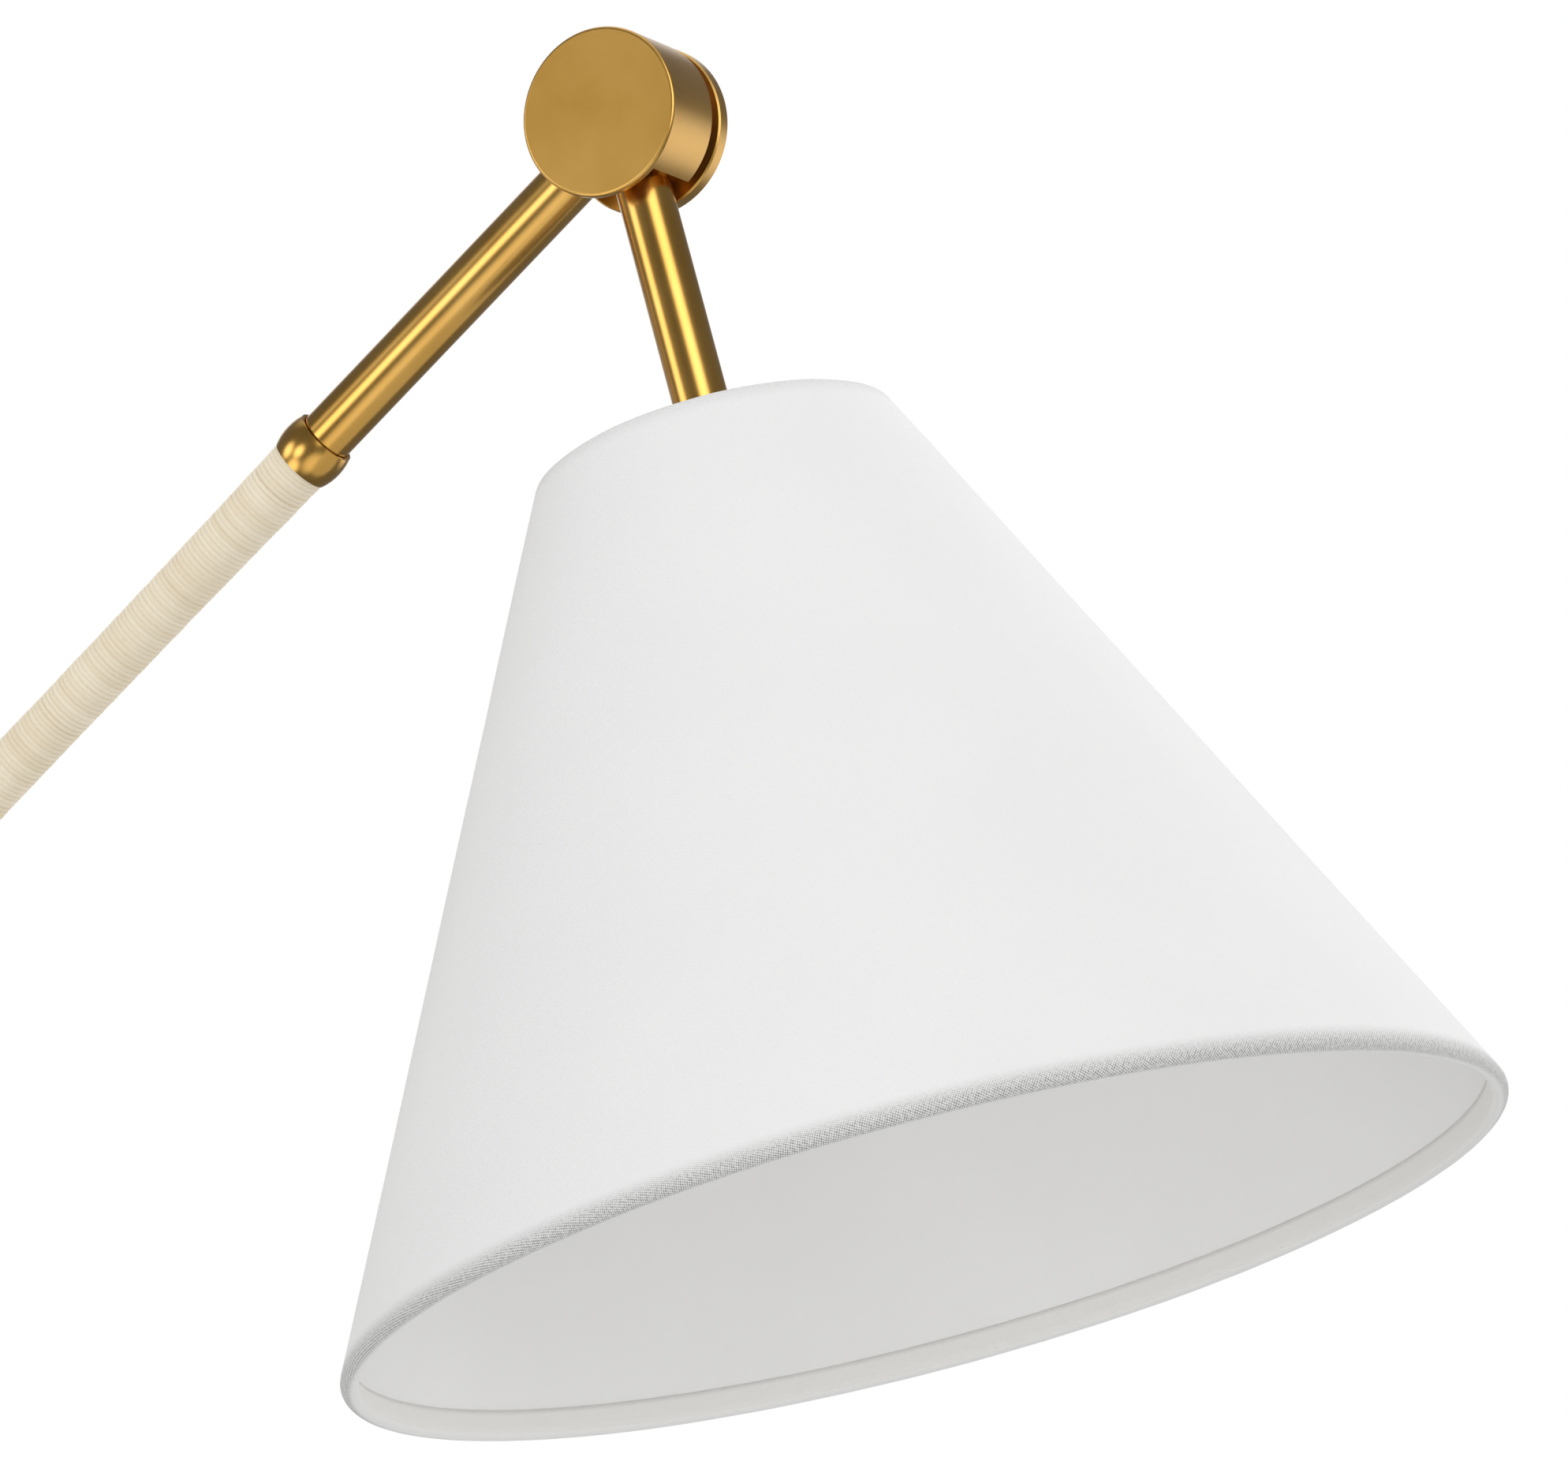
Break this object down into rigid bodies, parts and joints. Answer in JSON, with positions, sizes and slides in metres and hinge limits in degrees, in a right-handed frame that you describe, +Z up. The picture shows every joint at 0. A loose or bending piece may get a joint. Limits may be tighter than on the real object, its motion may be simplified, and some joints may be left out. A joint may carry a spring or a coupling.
{
  "type": "swing arm wall sconce",
  "caption": "Wall sconce with a round canopy, a vertical swivel, a cord-wrapped brass arm between two drum knuckles, and a wide conical fabric shade on a tilting stem.",
  "frame": {"origin": "on the wall, at the centre of the wall screws' slots and of the canopy's open back", "axes": "+Z up, +Y into the wall, +X to the right for someone facing the wall; the lamp reaches out along -Y"},
  "size_m": [0.2451, 0.5306, 0.3109],
  "materials": {
    "burnished_brass": "satin",
    "zinc_steel": "satin",
    "shade_wire": "satin",
    "shade_fabric": "matte",
    "shade_liner": "matte",
    "grip_cord": "matte",
    "wire_insulation": "satin",
    "friction_fibre": "matte",
    "moulded_black": "satin",
    "socket_ceramic": "satin",
    "insulating_card": "matte",
    "contact_brass": "satin"
  },
  "bodies": {
    "wall_mount": {"crossbar": "zinc_steel", "ground_screw": "zinc_steel", "canopy_studs": "zinc_steel", "canopy": "burnished_brass", "canopy_nuts": "burnished_brass", "nipple": "zinc_steel", "nipple_locknut": "zinc_steel", "post": "burnished_brass", "swivel_base": "burnished_brass", "swivel_foot": "burnished_brass", "swivel_pin": "zinc_steel", "swivel_washer": "friction_fibre", "swivel_spring_washer": "zinc_steel", "swivel_nut": "zinc_steel", "swivel_finial": "burnished_brass", "dimmer_body": "moulded_black", "dimmer_nut": "zinc_steel"},
    "swivel": {"swivel_sleeve": "burnished_brass", "neck_tube": "burnished_brass", "lower_cup": "burnished_brass", "lower_stud": "zinc_steel", "lower_nut": "zinc_steel", "lower_spring_washers": "zinc_steel", "lower_anchor": "burnished_brass"},
    "arm": {"lower_hub": "burnished_brass", "lower_friction_washer": "friction_fibre", "lower_cap": "burnished_brass", "arm_tube_lower": "burnished_brass", "arm_tube_upper": "burnished_brass", "grip_core": "zinc_steel", "grip_wrap": "grip_cord", "collar_lower": "burnished_brass", "collar_upper": "burnished_brass", "arm_wire": "wire_insulation", "elbow_hub": "burnished_brass", "elbow_friction_washer": "friction_fibre", "elbow_cap": "burnished_brass"},
    "shade_head": {"elbow_cup": "burnished_brass", "elbow_stud": "zinc_steel", "elbow_nut": "zinc_steel", "elbow_spring_washers": "zinc_steel", "elbow_anchor": "burnished_brass", "stem_tube": "burnished_brass", "stem_wire": "wire_insulation", "stem_flange": "burnished_brass", "stem_nipple": "zinc_steel", "spider_hub": "shade_wire", "spider_arms": "shade_wire", "shade_ring_top": "shade_wire", "shade_ring_bottom": "shade_wire", "shade_skin": "shade_fabric", "shade_liner": "shade_liner", "socket_cap": "burnished_brass", "socket_shell": "burnished_brass", "socket_insulator": "insulating_card", "socket_block": "socket_ceramic", "screw_shell": "contact_brass", "centre_contact": "contact_brass"},
    "dimmer": {"dimmer_shaft": "zinc_steel", "dimmer_knob": "burnished_brass"}
  },
  "joints": [
    {"name": "wall_swing", "type": "hinge", "parent": "wall_mount", "child": "swivel", "pos_m": [0, -0.05, 0.0218], "axis": [0, 0, 1], "range_deg": [-75, 75]},
    {"name": "arm_pitch", "type": "hinge", "parent": "swivel", "child": "arm", "pos_m": [0, -0.088, 0.0218], "axis": [-1, 0, 0], "range_deg": [-45, 30]},
    {"name": "shade_tilt", "type": "hinge", "parent": "arm", "child": "shade_head", "pos_m": [0, -0.3419, 0.23259], "axis": [-1, 0, 0], "range_deg": [-8, 80]},
    {"name": "dimmer_turn", "type": "hinge", "parent": "wall_mount", "child": "dimmer", "pos_m": [0, -0.018, -0.034], "axis": [0, -1, 0], "range_deg": [0, 270]}
  ]
}
